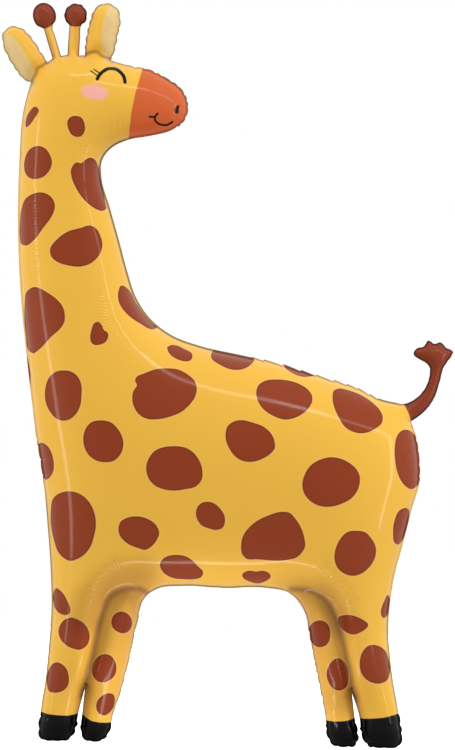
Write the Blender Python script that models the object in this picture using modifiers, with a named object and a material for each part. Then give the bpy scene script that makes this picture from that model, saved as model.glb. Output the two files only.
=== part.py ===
# Giraffe foil balloon, standing on its four hooves.
# Two foils are welded to each other round one outline and blown up. The outline is drawn on squared
# paper, side on, and scaled to the balloon's height. The gas then pushes the foils apart.
# Metres, +Z up. X runs along the body towards the tail, Y is the thickness.

import math

import bpy
import numpy as np
from mathutils.geometry import delaunay_2d_cdt

# Driving dimensions
HEIGHT = 1.0  # floor to the tip of the right ear
WELD_WIDTH = 0.003  # flat band where the foils are sealed to each other
WELD_THICKNESS = 0.0008
BULGE_REACH = 0.085  # how far in from the weld the foils still part further
SOLE_PRESS = 0.019  # how far the hooves are pressed flat on the floor
SEAM_WIDTH = 0.012  # half width of the valley along a crease in the foil

# Fineness of the mesh
RIM_STEP = 0.0115
RIM_TURN = math.radians(24)
RING_DEPTHS = (0.0025, 0.008, 0.016)  # rows of points inside the weld, where the foil is steepest
GRID_STEP = 0.0165
CLOSEST = 0.0035

# The drawing: (x, y) in squares, x to the right and y downwards
GROUND_FALL = 0.0216  # squares that the ground line drops for each square to the right

EAR_LEFT_LOWER = [(31, 82), (23, 78), (16, 69), (8, 56), (3, 43)]
EAR_LEFT_UPPER = [(4, 31), (13, 26), (23, 29), (31, 37), (40, 50.5), (47.5, 62)]
EAR_RIGHT_INNER = [(85, 55), (86, 41), (90, 22), (96, 7.5)]
EAR_RIGHT_OUTER = [(106, 3), (116, 7), (120.5, 20), (117.5, 35), (115.5, 46), (111, 60)]
EAR_LEFT_TO_HORN = [(47.5, 62), (52.5, 58)]
HORN_TO_HORN = [(61, 55.5), (67.5, 54.5)]
HORN_TO_EAR_RIGHT = [(79, 55), (85, 55)]
HORN_LEFT = {"feet": [(52.5, 58), (61, 55.5)], "knob": (44.5, 15.5), "width": 23, "height": 26.5}
HORN_RIGHT = {"feet": [(67.5, 54.5), (79, 55)], "knob": (75.7, 15), "width": 22.5, "height": 23.5}
STEM_KNOTS = (0, 0.45, 0.85)  # shares of the stem's length

FOREHEAD = [(111, 60), (130, 65.5), (150, 69.5)]
SNOUT = [(165, 77), (177, 84.5), (185, 94), (188, 108), (184.5, 120), (173, 129)]
THROAT = [(150, 135.5), (128, 139.5), (111, 148), (102, 160), (101.5, 177), (110, 208)]
NECK_FRONT = [(119, 240), (127, 270), (136, 297), (150, 318), (172, 335)]
BACK = [(200, 345.5), (240, 354.5), (280, 363.5), (320, 376), (357, 387.5), (380, 398.5), (404, 403.5)]

TAIL_INNER = [(404, 403.5), (413, 400), (423, 391), (429, 378), (429, 365.5), (420, 359)]
TAIL_TUFT = [(413.5, 353), (417, 348), (424, 346), (428, 340), (434.5, 343.5), (441, 342), (446, 347.5)]
TAIL_OUTER = [(453, 351), (450, 358), (444.5, 365), (440, 380), (434, 398), (425, 410.5), (411, 421)]

RUMP = [(411, 421), (417, 441), (419.5, 461), (419.5, 481), (412, 508), (403, 543), (394, 577)]
HIND_NEAR_BACK = [(390, 602), (388, 630), (390, 656), (393.5, 684), (397.5, 706)]
HIND_NEAR_FRONT = [(358, 711), (352, 693)]
HIND_FAR_BACK = [(352, 693), (354, 712)]
HIND_FAR_FRONT = [(325, 713), (321, 692), (314.5, 661), (309.5, 635), (304, 610), (290, 593)]
BELLY = [(265, 587.3), (225, 587.5), (180, 585.5), (158, 588)]
FRONT_FAR_BACK = [(144, 598), (138, 619), (129, 660), (119, 697), (112.5, 716)]
FRONT_FAR_FRONT = [(83, 706), (85, 688)]
FRONT_NEAR_BACK = [(85, 688), (79.5, 708)]
FRONT_NEAR_FRONT = [(41, 709), (45.5, 680), (49.5, 640), (51.5, 612)]
CHEST = [(50.5, 565), (47.5, 523), (44, 485), (40.5, 461), (36.5, 438)]
NECK_BACK = [(32, 402), (26, 349), (20.5, 290), (18, 220), (19.5, 160), (24, 108), (31, 82)]

# Each hoof by its two sides
HOOF_FRONT_NEAR = (39.5, 72)
HOOF_FRONT_FAR = (82, 108.5)
HOOF_HIND_FAR = (329, 357.5)
HOOF_HIND_NEAR = (365.5, 400.5)
HOOF_ROUNDING = 13
HOOF_HEIGHT = 32.5  # from the near front leg's lowest knot down to the ground line
GROUND_X = 75.0  # where the ground line has this height, between the front hooves
GROUND_Y = FRONT_NEAR_FRONT[0][1] + HOOF_HEIGHT

# Creases: the foils are sealed along the first share of the line, and drawn together along the rest
CREASE_FRONT_LEG = {
    "line": [(85, 688), (91, 665), (97, 640), (104, 610), (115, 591), (130, 585.5), (146, 593)],
    "sealed": 0.5,
    "draw": 0.4,
}
CREASE_HIND_LEG = {
    "line": [(352, 693), (347, 670), (342, 645), (336, 618), (327, 600), (309, 590), (288, 591)],
    "sealed": 0.5,
    "draw": 0.4,
}
CREASE_EAR_LEFT = {"line": [(47.5, 62), (38, 69), (31, 82)], "sealed": 0.0, "draw": 0.45}
CREASE_EAR_RIGHT = {"line": [(85, 55), (97, 52.5), (111, 60)], "sealed": 0.0, "draw": 0.45}
CREASE_TAIL = {"line": [(404, 403.5), (409, 413), (411, 421)], "sealed": 0.0, "draw": 0.3}
CREASES = [CREASE_FRONT_LEG, CREASE_HIND_LEG, CREASE_EAR_LEFT, CREASE_EAR_RIGHT, CREASE_TAIL]

FOIL_YELLOW = (0.80, 0.47, 0.065, 1.0)  # linear
FOIL_ROUGHNESS = 0.3
FOIL_METALLIC = 0.25
FLOOR_MARGIN = 0.05


def clear_scene():
    for obj in list(bpy.data.objects):
        bpy.data.objects.remove(obj)


def new_collection(name):
    collection = bpy.data.collections.new(name)
    bpy.context.scene.collection.children.link(collection)
    return collection


def foil_material():
    material = bpy.data.materials.new("printed_foil")
    material.use_nodes = True
    shader = material.node_tree.nodes["Principled BSDF"]
    shader.inputs["Base Color"].default_value = FOIL_YELLOW
    shader.inputs["Roughness"].default_value = FOIL_ROUGHNESS
    shader.inputs["Metallic"].default_value = FOIL_METALLIC
    return material


# The drawing, levelled and scaled to metres


def lean():
    """The angle by which the drawing's ground line falls to the right."""
    return math.atan(GROUND_FALL)


def levelled(squares):
    """The drawing's points turned until its ground line is level and at height 0, still in squares."""
    x, down = np.asarray(squares, float).reshape(-1, 2).T
    right = x - GROUND_X
    up = GROUND_Y - down
    turn = lean()
    return np.stack(
        [right * math.cos(turn) - up * math.sin(turn), right * math.sin(turn) + up * math.cos(turn)],
        axis=1,
    )


def square_size():
    """One square in metres."""
    ear = smooth_line(EAR_RIGHT_INNER + EAR_RIGHT_OUTER)
    return HEIGHT / levelled(ear)[:, 1].max()


def ground(x):
    """How far down the ground line is at x, in squares."""
    return GROUND_Y + (x - GROUND_X) * GROUND_FALL


def horn(feet, knob, width, height):
    """A stem that rises from its two feet into an oval knob."""
    left, right = (np.array(foot, float) for foot in feet)
    knob = np.array(knob, float)
    upward = knob - (left + right) / 2
    upward /= np.linalg.norm(upward)
    rightward = np.array([-upward[1], upward[0]])
    stem_half = np.linalg.norm(right - left) / 2
    start = math.asin(min(2 * stem_half / width, 0.9))
    turns = np.linspace(start, 2 * math.pi - start, 11)
    round_knob = [
        knob - rightward * math.sin(turn) * width / 2 - upward * math.cos(turn) * height / 2
        for turn in turns
    ]
    left_side = [left + share * (round_knob[0] - left) for share in STEM_KNOTS]
    right_side = [right + share * (round_knob[-1] - right) for share in reversed(STEM_KNOTS)]
    return [*left_side, *round_knob, *right_side]


def hoof(sides, square):
    """The rounded foot of a leg, from its right side round to its left, drawn past the ground line."""
    left, right = sides
    points = []
    for x, first in ((right - HOOF_ROUNDING, 0), (left + HOOF_ROUNDING, 90)):
        for degrees in (first, first + 45, first + 90):
            turn = math.radians(degrees)
            bottom = ground(x) + SOLE_PRESS / square - HOOF_ROUNDING
            points.append((x + HOOF_ROUNDING * math.cos(turn), bottom + HOOF_ROUNDING * math.sin(turn)))
    return points


def outline_runs(square):
    """The outline clockwise, as smooth runs that meet at the notches."""
    hind_near = RUMP + HIND_NEAR_BACK + hoof(HOOF_HIND_NEAR, square) + HIND_NEAR_FRONT
    hind_far = HIND_FAR_BACK + hoof(HOOF_HIND_FAR, square) + HIND_FAR_FRONT
    front_far = FRONT_FAR_BACK + hoof(HOOF_FRONT_FAR, square) + FRONT_FAR_FRONT
    front_near = FRONT_NEAR_BACK + hoof(HOOF_FRONT_NEAR, square) + FRONT_NEAR_FRONT
    return [
        EAR_LEFT_LOWER + EAR_LEFT_UPPER,
        EAR_LEFT_TO_HORN,
        horn(**HORN_LEFT),
        HORN_TO_HORN,
        horn(**HORN_RIGHT),
        HORN_TO_EAR_RIGHT,
        EAR_RIGHT_INNER + EAR_RIGHT_OUTER,
        FOREHEAD + SNOUT + THROAT + NECK_FRONT + BACK,
        TAIL_INNER + TAIL_TUFT + TAIL_OUTER,
        hind_near,
        hind_far + BELLY + front_far,
        front_near + CHEST + NECK_BACK,
    ]


# Lines


def smooth_line(knots):
    """A smooth line through the knots, as close points: a cubic between each two."""
    knots = np.array([tuple(knot) for knot in knots], float)
    gaps = np.linalg.norm(np.diff(knots, axis=0), axis=1)
    slopes = np.diff(knots, axis=0) / gaps[:, None]
    share = (gaps[1:] / (gaps[:-1] + gaps[1:]))[:, None]
    inner = slopes[:-1] * share + slopes[1:] * (1 - share)
    if len(inner):
        first = 1.5 * slopes[0] - 0.5 * inner[0]
        last = 1.5 * slopes[-1] - 0.5 * inner[-1]
        tangents = np.concatenate([[first], inner, [last]])
    else:
        tangents = np.concatenate([slopes, slopes])
    line = []
    for i, gap in enumerate(gaps):
        t = np.linspace(0, 1, max(2, math.ceil(2 * gap)), endpoint=False)[:, None]
        line.append(
            (2 * t**3 - 3 * t**2 + 1) * knots[i]
            + (t**3 - 2 * t**2 + t) * gap * tangents[i]
            + (3 * t**2 - 2 * t**3) * knots[i + 1]
            + (t**3 - t**2) * gap * tangents[i + 1]
        )
    return np.concatenate([*line, knots[-1:]])


def spaced(line, step, turn_limit):
    """Points picked from a close line: a step apart, and closer where it bends. Both ends are kept."""
    picked = [0]
    length = turned = 0.0
    for i in range(1, len(line) - 1):
        before = line[i] - line[i - 1]
        after = line[i + 1] - line[i]
        length += np.linalg.norm(before)
        turned += abs(math.atan2(before[0] * after[1] - before[1] * after[0], before @ after))
        if length >= step or (turned >= turn_limit and length >= CLOSEST):
            picked.append(i)
            length = turned = 0.0
    if np.linalg.norm(line[-1] - line[picked[-1]]) < CLOSEST and len(picked) > 1:
        picked.pop()
    return line[picked + [len(line) - 1]]


def distances(points, line):
    """From each point to the nearest point of a close line."""
    nearest = np.empty(len(points))
    for i, point in enumerate(points):
        nearest[i] = np.sqrt(((line - point) ** 2).sum(axis=1).min())
    return nearest


def moved_in(runs, depth):
    """Each point of the clockwise runs moved straight into the balloon, with one more at each notch."""
    moved = []
    for run, following in zip(runs, runs[1:] + runs[:1]):
        along = np.gradient(run, axis=0)
        along /= np.linalg.norm(along, axis=1)[:, None]
        moved.append(run + depth * np.stack([along[:, 1], -along[:, 0]], axis=1))
        onward = following[1] - following[0]
        into_notch = along[-1] - onward / np.linalg.norm(onward)
        moved.append(run[-1:] + depth * into_notch / np.linalg.norm(into_notch))
    return np.concatenate(moved)


# The flat foil


class FlatFoil:
    """Points and edges of the flat foil, each point with what it belongs to."""

    def __init__(self):
        self.points = []
        self.kinds = []
        self.edges = []

    def add_row(self, points, kind, kept, linked):
        """Adds the kept points of a row, and an edge from each linked one to the next, if that is kept."""
        indices = np.where(kept, np.cumsum(kept) - 1 + len(self.points), -1)
        self.points += [tuple(point) for point in points[kept]]
        self.kinds += [kind] * int(kept.sum())
        for here, onward, is_linked in zip(indices, np.roll(indices, -1), linked):
            if is_linked and here >= 0 and onward >= 0:
                self.edges.append((int(here), int(onward)))

    def add_loose(self, points, kind):
        self.points += [tuple(point) for point in points]
        self.kinds += [kind] * len(points)


def grid_points(low, high):
    """Points in a pattern of equal triangles."""
    rows = np.arange(low[1], high[1], GRID_STEP * math.sqrt(3) / 2)
    points = [
        (x, z)
        for i, z in enumerate(rows)
        for x in np.arange(low[0] + (i % 2) * GRID_STEP / 2, high[0], GRID_STEP)
    ]
    return np.array(points)


def inside(points, rim):
    """Whether each point is inside the closed line."""
    found = np.zeros(len(points), bool)
    for (x1, z1), (x2, z2) in zip(rim, np.roll(rim, -1, axis=0)):
        crosses = (points[:, 1] < z1) != (points[:, 1] < z2)
        if z1 != z2:
            found ^= crosses & (points[:, 0] < x1 + (points[:, 1] - z1) * (x2 - x1) / (z2 - z1))
    return found


def flat_foil(runs, creases):
    """The flat foil as triangles: (points, triangles, kind of each point)."""
    close_rim = np.concatenate([run[:-1] for run in runs])
    rim_runs = [spaced(run, RIM_STEP, RIM_TURN) for run in runs]
    rim = np.concatenate([run[:-1] for run in rim_runs])

    def clear_of_rim(points, depth):
        return inside(points, rim) & (distances(points, close_rim) > depth)

    foil = FlatFoil()
    everywhere = np.ones(len(rim), bool)
    foil.add_row(rim, "rim", everywhere, everywhere)
    weld = moved_in(rim_runs, WELD_WIDTH)
    kept = clear_of_rim(weld, 0.97 * WELD_WIDTH)
    linked = clear_of_rim((weld + np.roll(weld, -1, axis=0)) / 2, 0.6 * WELD_WIDTH)
    foil.add_row(weld, "weld", kept, linked)
    placed = weld[kept]
    for crease in creases:
        line = spaced(crease["line"], RIM_STEP, RIM_TURN)
        along = np.arange(len(line)) / (len(line) - 1)
        kept = clear_of_rim(line, WELD_WIDTH + CLOSEST / 2)
        sealed = along <= crease["sealed"]
        linked = along < 1
        foil.add_row(line, "seal", kept & sealed, linked)
        foil.add_row(line, "foil", kept & ~sealed, linked)
        placed = np.concatenate([placed, line[kept]])
        for depth in RING_DEPTHS:
            beside = np.concatenate([moved_in([line], side * depth)[:-1] for side in (1, -1)])
            kept = clear_of_rim(beside, WELD_WIDTH + depth)
            kept &= distances(beside, placed) > 0.8 * depth
            foil.add_loose(beside[kept], "foil")
            placed = np.concatenate([placed, beside[kept]])
    for depth in RING_DEPTHS:
        ring = moved_in(rim_runs, WELD_WIDTH + depth)
        kept = clear_of_rim(ring, 0.95 * (WELD_WIDTH + depth))
        kept &= distances(ring, placed) > 0.8 * max(depth, CLOSEST / 2)
        foil.add_loose(ring[kept], "foil")
        placed = np.concatenate([placed, ring[kept]])
    close_creases = np.concatenate([crease["line"] for crease in creases])
    grid = grid_points(rim.min(axis=0), rim.max(axis=0))
    kept = clear_of_rim(grid, WELD_WIDTH + RING_DEPTHS[-1] + GRID_STEP / 2)
    kept &= distances(grid, close_creases) > RING_DEPTHS[-1] + GRID_STEP / 2
    foil.add_loose(grid[kept], "foil")

    points, _, triangles, sources, _, _ = delaunay_2d_cdt(foil.points, foil.edges, [], 0, 1e-6, True)
    points = np.array([tuple(point) for point in points])
    triangles = np.array(triangles)
    triangles = triangles[inside(points[triangles].mean(axis=1), rim)]
    kinds = np.array([foil.kinds[source[0]] if source else "foil" for source in sources])
    return points, triangles, kinds


# The blown-up foil


def blown_up(points, triangles, held):
    """How far the gas lifts each point: a stretched sheet held at its welds, pushed evenly."""
    corners = points[triangles]
    opposite = np.roll(corners, -2, axis=1) - np.roll(corners, -1, axis=1)
    area = 0.5 * (
        (corners[:, 1, 0] - corners[:, 0, 0]) * (corners[:, 2, 1] - corners[:, 0, 1])
        - (corners[:, 1, 1] - corners[:, 0, 1]) * (corners[:, 2, 0] - corners[:, 0, 0])
    )
    stiffness = np.zeros((len(points), len(points)))
    share = np.zeros(len(points))
    for i in range(3):
        np.add.at(share, triangles[:, i], area / 3)
        for j in range(3):
            pull = (opposite[:, i] * opposite[:, j]).sum(axis=1) / (4 * area)
            np.add.at(stiffness, (triangles[:, i], triangles[:, j]), pull)
    stiffness[np.diag_indices(len(points))] += share / BULGE_REACH**2
    free = np.flatnonzero(~held)
    push = np.zeros(len(points))
    push[free] = np.linalg.solve(stiffness[np.ix_(free, free)], share[free])
    return np.sqrt(2 * np.maximum(push, 0))


def drawn_together(heights, points, creases):
    """The heights with a valley along each crease."""
    for crease in creases:
        near = distances(points, crease["line"])
        heights = heights * (1 - crease["draw"] * np.exp(-((near / SEAM_WIDTH) ** 2)))
    return heights


def half_balloon_mesh(name, runs, creases):
    """The front foil, open at the plane of the rim."""
    points, triangles, kinds = flat_foil(runs, creases)
    held = kinds != "foil"
    heights = drawn_together(blown_up(points, triangles, held), points, creases)
    heights[held] = WELD_THICKNESS / 2
    heights = np.maximum(heights, WELD_THICKNESS / 2)
    heights[kinds == "rim"] = 0
    front = np.stack([points[:, 0], -heights, points[:, 1]], axis=1)
    mesh = bpy.data.meshes.new(name)
    mesh.from_pydata(front.tolist(), [], triangles.tolist())
    mesh.shade_smooth()
    return mesh


def floor_block(width):
    """The cutter below the floor that flattens the soles."""
    reach = SOLE_PRESS + FLOOR_MARGIN
    bpy.ops.mesh.primitive_cube_add(size=1, location=(0, 0, -reach / 2))
    block = bpy.context.object
    block.name = "floor_cutter"
    block.scale = (width + 2 * FLOOR_MARGIN, width, reach)
    block.hide_render = True
    block.display_type = "WIRE"
    return block


def build():
    clear_scene()
    parts = new_collection("giraffe_foil_balloon")
    cutters = new_collection("cutters")

    square = square_size()
    runs = [levelled(smooth_line(run)) * square for run in outline_runs(square)]
    across = np.concatenate([spaced(run, RIM_STEP, RIM_TURN) for run in runs])[:, 0]
    middle = np.array([(across.min() + across.max()) / 2, 0])
    width = across.max() - across.min()
    runs = [run - middle for run in runs]
    creases = []
    for crease in CREASES:
        line = levelled(smooth_line(crease["line"])) * square - middle
        creases.append({**crease, "line": line})

    mesh = half_balloon_mesh("giraffe_balloon", runs, creases)
    balloon = bpy.data.objects.new("giraffe_balloon", mesh)
    mesh.materials.append(foil_material())
    parts.objects.link(balloon)

    mirror = balloon.modifiers.new("back foil", "MIRROR")
    mirror.use_axis = (False, True, False)
    mirror.merge_threshold = 0.0001

    block = floor_block(width)
    for collection in list(block.users_collection):
        collection.objects.unlink(block)
    cutters.objects.link(block)
    soles = balloon.modifiers.new("flat soles", "BOOLEAN")
    soles.operation = "DIFFERENCE"
    soles.solver = "EXACT"
    soles.object = block


build()
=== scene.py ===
import math

import bmesh
import bpy
import numpy as np
from mathutils import Matrix, Vector, kdtree
from mathutils.geometry import delaunay_2d_cdt


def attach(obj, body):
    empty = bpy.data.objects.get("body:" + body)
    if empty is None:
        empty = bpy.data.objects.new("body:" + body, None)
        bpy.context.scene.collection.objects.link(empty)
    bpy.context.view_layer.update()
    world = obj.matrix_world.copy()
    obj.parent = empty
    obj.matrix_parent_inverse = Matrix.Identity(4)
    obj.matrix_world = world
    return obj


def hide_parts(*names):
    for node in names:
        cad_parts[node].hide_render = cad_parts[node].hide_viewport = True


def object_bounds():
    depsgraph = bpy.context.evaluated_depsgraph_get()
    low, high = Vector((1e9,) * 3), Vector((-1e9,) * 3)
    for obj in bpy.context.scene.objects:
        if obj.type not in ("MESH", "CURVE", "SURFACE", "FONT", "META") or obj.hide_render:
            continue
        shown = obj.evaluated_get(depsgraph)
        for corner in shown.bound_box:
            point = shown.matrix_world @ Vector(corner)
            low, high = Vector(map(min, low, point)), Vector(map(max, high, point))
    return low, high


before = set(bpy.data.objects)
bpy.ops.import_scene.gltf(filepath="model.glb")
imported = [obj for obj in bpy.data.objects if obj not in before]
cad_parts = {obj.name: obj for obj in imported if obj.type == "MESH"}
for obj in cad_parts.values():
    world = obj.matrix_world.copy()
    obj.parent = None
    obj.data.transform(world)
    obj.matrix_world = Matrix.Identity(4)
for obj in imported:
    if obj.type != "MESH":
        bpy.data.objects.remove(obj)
cadBox = [list(corner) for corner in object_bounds()]
nodeName = "giraffe_balloon"

# The drawing: the print and the folds are drawn in squares, x to the right and y downwards,
# over the balloon seen from its left side. The frame gives the size of a square.
drawing = {
    "groundPoint": (75.0, 741.5),  # on the floor, between the front hooves
    "groundFall": 0.0216,  # the floor's drop for each square to the right
    "squaresHigh": 738.9,  # from the floor to the tip of the right ear
    "middle": 141.02,  # from the ground point to the balloon's middle
    "paper": (455, 750),
}
square = cadBox[1][2] / drawing["squaresHigh"]
lean = math.atan(drawing["groundFall"])


def toMetres(squares):
    # points of the drawing as (x, z) on the upright plane of the seam
    x, y = np.asarray(squares, float).reshape(-1, 2).T
    right = x - drawing["groundPoint"][0]
    up = drawing["groundPoint"][1] - y
    along = right * math.cos(lean) - up * math.sin(lean) - drawing["middle"]
    height = right * math.sin(lean) + up * math.cos(lean)
    return np.stack([along, height], axis=1) * square


# Lines

def smoothLine(knots, step, closed=False):
    # a cubic between each two knots, as close points
    knots = np.asarray(knots, float)
    if closed:
        knots = np.concatenate([knots[-1:], knots, knots[:2]])
    gaps = np.linalg.norm(np.diff(knots, axis=0), axis=1)
    slopes = np.diff(knots, axis=0) / gaps[:, None]
    share = (gaps[1:] / (gaps[:-1] + gaps[1:]))[:, None]
    inner = slopes[:-1] * share + slopes[1:] * (1 - share)
    spans = range(1, len(gaps) - 1) if closed else range(len(gaps))
    if closed:
        tangents = np.concatenate([inner[:1], inner, inner[-1:]])
    elif len(inner):
        first, last = 1.5 * slopes[0] - 0.5 * inner[0], 1.5 * slopes[-1] - 0.5 * inner[-1]
        tangents = np.concatenate([[first], inner, [last]])
    else:
        tangents = np.concatenate([slopes, slopes])
    line = []
    for i in spans:
        t = np.linspace(0, 1, max(2, math.ceil(gaps[i] / step) + 1))[:-1, None]
        line.append(
            (2 * t**3 - 3 * t**2 + 1) * knots[i]
            + (t**3 - 2 * t**2 + t) * gaps[i] * tangents[i]
            + (3 * t**2 - 2 * t**3) * knots[i + 1]
            + (t**3 - t**2) * gaps[i] * tangents[i + 1]
        )
    if not closed:
        line.append(knots[-1:])
    return np.concatenate(line)


def lengthsAlong(line):
    return np.concatenate([[0], np.cumsum(np.linalg.norm(np.diff(line, axis=0), axis=1))])


def evenly(line, step):
    # the same line with even steps, its ends kept
    along = lengthsAlong(line)
    count = max(2, round(along[-1] / step) + 1)
    wanted = np.linspace(0, along[-1], count)
    return np.stack([np.interp(wanted, along, line[:, i]) for i in (0, 1)], axis=1)


def sidewaysOf(line):
    # the direction across a line at each of its points, to the left of its way
    along = np.gradient(line, axis=0)
    along /= np.linalg.norm(along, axis=1)[:, None]
    return np.stack([-along[:, 1], along[:, 0]], axis=1)


def signedArea(points, triangles):
    # above zero for a triangle that turns to the left
    a, b, c = np.moveaxis(points[triangles], 1, 0)
    first, second = b - a, c - a
    return 0.5 * (first[:, 0] * second[:, 1] - first[:, 1] * second[:, 0])


def treeOf(points):
    tree = kdtree.KDTree(len(points))
    for i, point in enumerate(points):
        tree.insert((point[0], point[1], 0), i)
    tree.balance()
    return tree


def nearestOn(points, line):
    # for each point the nearest point of a close line, and how far off it is
    tree = treeOf(line)
    found = [tree.find((x, z, 0)) for x, z in points]
    return np.array([one[1] for one in found]), np.array([one[2] for one in found])


def distanceTo(points, lines, closed=False):
    # how far each point is from the nearest of several lines, measured to their straight steps
    joined = np.concatenate(lines)
    onward = np.arange(len(joined)) + 1
    backward = np.arange(len(joined)) - 1
    start = 0
    for line in lines:
        last = start + len(line) - 1
        onward[last] = start if closed else last
        backward[start] = last if closed else start
        start = last + 1
    nearest, off = nearestOn(points, joined)
    here = joined[nearest]
    for neighbour in (onward, backward):
        way = joined[neighbour[nearest]] - here
        share = ((points - here) * way).sum(axis=1) / np.maximum((way**2).sum(axis=1), 1e-12)
        foot = here + np.clip(share, 0, 1)[:, None] * way
        off = np.minimum(off, np.linalg.norm(points - foot, axis=1))
    return off


def insideOf(points, loop):
    found = np.zeros(len(points), bool)
    low, high = loop.min(axis=0), loop.max(axis=0)
    near = np.flatnonzero(((points > low) & (points < high)).all(axis=1))
    x, z = points[near].T
    hit = np.zeros(len(near), bool)
    for (x1, z1), (x2, z2) in zip(loop, np.roll(loop, -1, axis=0)):
        if z1 != z2:
            crosses = (z < z1) != (z < z2)
            hit ^= crosses & (x < x1 + (z - z1) * (x2 - x1) / (z2 - z1))
    found[near] = hit
    return found


def smooth01(value, low, high):
    t = np.clip((np.asarray(value, float) - low) / (high - low), 0, 1)
    return t * t * (3 - 2 * t)


# The sealed edge, read from the frame: the balloon's outline in the plane of its seam

edge = {
    "step": 0.0018,
    "cornerTurn": math.radians(50),  # a sharper turn is a notch and stays sharp
    "hoofRise": 0.0006,  # how far above the floor a hoof's seam ends, before its lobes are added
    "hoofPoints": 7,  # round each corner of a hoof
    "offSeam": 1e-5,  # what is nearer to the middle plane lies on the seam
    "offFloor": 1e-4,  # and what is nearer to the floor belongs to a sole
}
# the rounded corners of the hooves from left to right: reach inwards and upwards, in squares
hoofCorners = [(7, 10), (14, 25), (9, 15), (15, 22), (13, 22), (8, 11), (14, 27), (8, 10)]


def seamChains():
    # the seam above the floor, as rows of points from one hoof to the next
    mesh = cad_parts[nodeName].data
    corners = np.empty(len(mesh.vertices) * 3)
    mesh.vertices.foreach_get("co", corners)
    corners = np.round(corners.reshape(-1, 3), 6)
    corners, sameAs = np.unique(corners, axis=0, return_inverse=True)
    sameAs = sameAs.ravel()
    ends = np.empty(len(mesh.edges) * 2, int)
    mesh.edges.foreach_get("vertices", ends)
    ends = np.unique(np.sort(sameAs[ends.reshape(-1, 2)], axis=1), axis=0)
    flat = (np.abs(corners[ends][:, :, 1]) < edge["offSeam"]).all(axis=1)
    ends = ends[flat & (corners[ends][:, :, 2].mean(axis=1) > edge["offFloor"])]
    nextTo = {}
    for a, b in ends:
        nextTo.setdefault(a, []).append(b)
        nextTo.setdefault(b, []).append(a)
    loose = [one for one in nextTo if len(nextTo[one]) == 1]
    chains = []
    while loose:
        chain = [loose.pop()]
        while True:
            onward = [one for one in nextTo[chain[-1]] if one not in chain[-2:-1]]
            chain.append(onward[0])
            if len(nextTo[chain[-1]]) == 1:
                break
        loose.remove(chain[-1])
        chains.append(corners[chain][:, [0, 2]])
    return chains


def hoofBottom(start, end, firstReach, lastReach):
    # the rounded end of a leg, from one side to the other
    way = math.copysign(1, end[0] - start[0])
    points = []
    for point, turn, first, reach in ((start, way, 180, firstReach), (end, -way, 270, lastReach)):
        centre = point[0] + turn * reach
        for degrees in np.linspace(first, first + 90, edge["hoofPoints"]):
            c, s = math.cos(math.radians(degrees)), math.sin(math.radians(degrees))
            points.append((centre + way * reach * c, point[1] + (point[1] - edge["hoofRise"]) * s))
    return points[1:-1]


def cutAt(chain, level):
    # a chain that starts low, without its start below the level
    first = np.flatnonzero(chain[:, 1] > level)[0]
    low, high = chain[first - 1], chain[first]
    point = low + (level - low[1]) / (high[1] - low[1]) * (high - low)
    return np.concatenate([[point], chain[first:]])


def sealedEdge():
    # the whole outline, clockwise, as smooth runs that meet at the notches
    chains = seamChains()
    ends = sorted((chain[i][0], k, i) for k, chain in enumerate(chains) for i in (0, -1))
    partner, reach = {}, {}
    for one, other in zip(ends[::2], ends[1::2]):
        partner[one[1:]] = other[1:]
        partner[other[1:]] = one[1:]
    for (_, k, i), (inward, upward) in zip(ends, hoofCorners):
        reach[k, i] = inward * square
        chain = chains[k] if i == 0 else chains[k][::-1]
        chain = cutAt(chain, upward * square)
        chains[k] = chain if i == 0 else chain[::-1]
    outline, at = [], (0, 0)
    for _ in chains:
        k, i = at
        chain = chains[k] if i == 0 else chains[k][::-1]
        outline += [tuple(point) for point in chain]
        leaving = (k, -1 if i == 0 else 0)
        at = partner[leaving]
        outline += hoofBottom(chain[-1], chains[at[0]][at[1]], reach[leaving], reach[at])
    outline = np.array(outline)
    x, z = outline.T
    if (x * np.roll(z, -1) - np.roll(x, -1) * z).sum() > 0:
        outline = outline[::-1]
    before = outline - np.roll(outline, 1, axis=0)
    after = np.roll(before, -1, axis=0)
    turn = np.arctan2(
        before[:, 0] * after[:, 1] - before[:, 1] * after[:, 0], (before * after).sum(axis=1)
    )
    notches = np.flatnonzero(np.abs(turn) > edge["cornerTurn"])
    runs = []
    for first, last in zip(notches, np.append(notches[1:], notches[0] + len(outline))):
        knots = outline[np.arange(first, last + 1) % len(outline)]
        runs.append(evenly(smoothLine(knots, edge["step"] / 3), edge["step"]))
    return runs


def movedIn(runs, outward, depth):
    # a row of points inside the outline, fanned out round each notch
    rows = []
    for k, run in enumerate(runs):
        rows.append(run[:-1] - depth * outward[k][:-1])
        here, onward = outward[k][-1], outward[(k + 1) % len(runs)][0]
        turn = math.atan2(here[0] * onward[1] - here[1] * onward[0], here @ onward)
        if turn > 0:  # the row goes round outside a notch
            count = max(2, math.ceil(turn * depth / edge["step"]))
            for share in np.linspace(0, 1, count + 1):
                c, s = math.cos(turn * share), math.sin(turn * share)
                swung = np.array([here[0] * c - here[1] * s, here[0] * s + here[1] * c])
                rows.append((run[-1] - depth * swung)[None])
    return np.concatenate(rows)


runs = sealedEdge()
rim = np.concatenate([run[:-1] for run in runs])
outward = [sidewaysOf(run) for run in runs]
print("sealed edge:", len(rim), "points in", len(runs), "runs")

# The flat foil

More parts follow.
